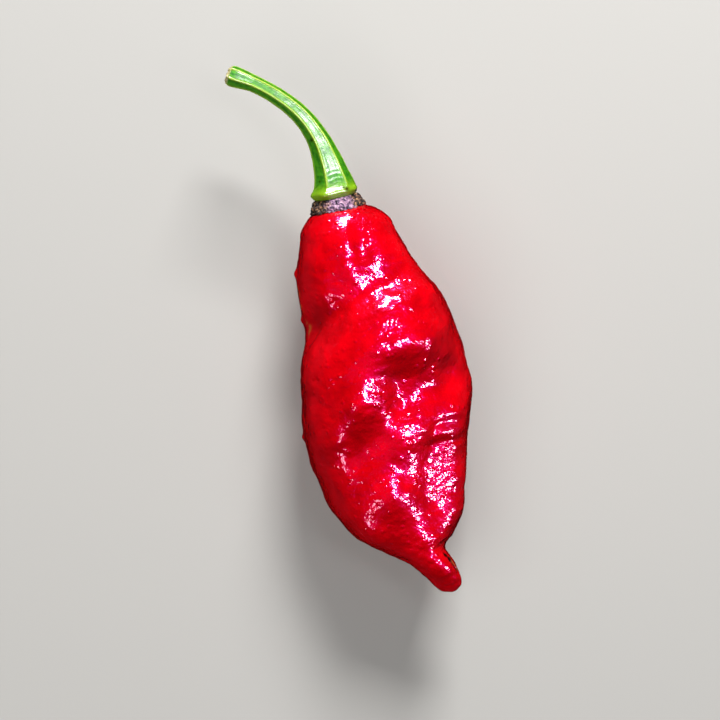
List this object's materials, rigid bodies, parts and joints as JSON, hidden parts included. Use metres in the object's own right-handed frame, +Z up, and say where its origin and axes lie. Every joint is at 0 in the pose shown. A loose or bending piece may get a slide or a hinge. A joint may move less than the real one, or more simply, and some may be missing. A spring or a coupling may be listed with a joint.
{
  "type": "ghost pepper",
  "caption": "Ripe red ghost pepper as picked, with wrinkled tapering pod, bent tail, corky calyx ring and curved green stem, lying on its back.",
  "frame": {"origin": "bottom centre of the whole pepper's box, on the surface that it rests on", "axes": "+Y along the pod towards the stem, the tail points along -Y; +Z up; +X to the right when the tail points at the viewer and the pepper is seen from above"},
  "size_m": [0.0296, 0.0927, 0.0255],
  "materials": {
    "red_skin": "glossy, finely wrinkled ripe pepper skin",
    "cork": "dry, fibrous, corky",
    "green_stem": "smooth, waxy fresh plant stem"
  },
  "bodies": {
    "root": {"fruit": "red_skin", "calyx_ring": "cork", "stem": "green_stem"}
  },
  "joints": []
}
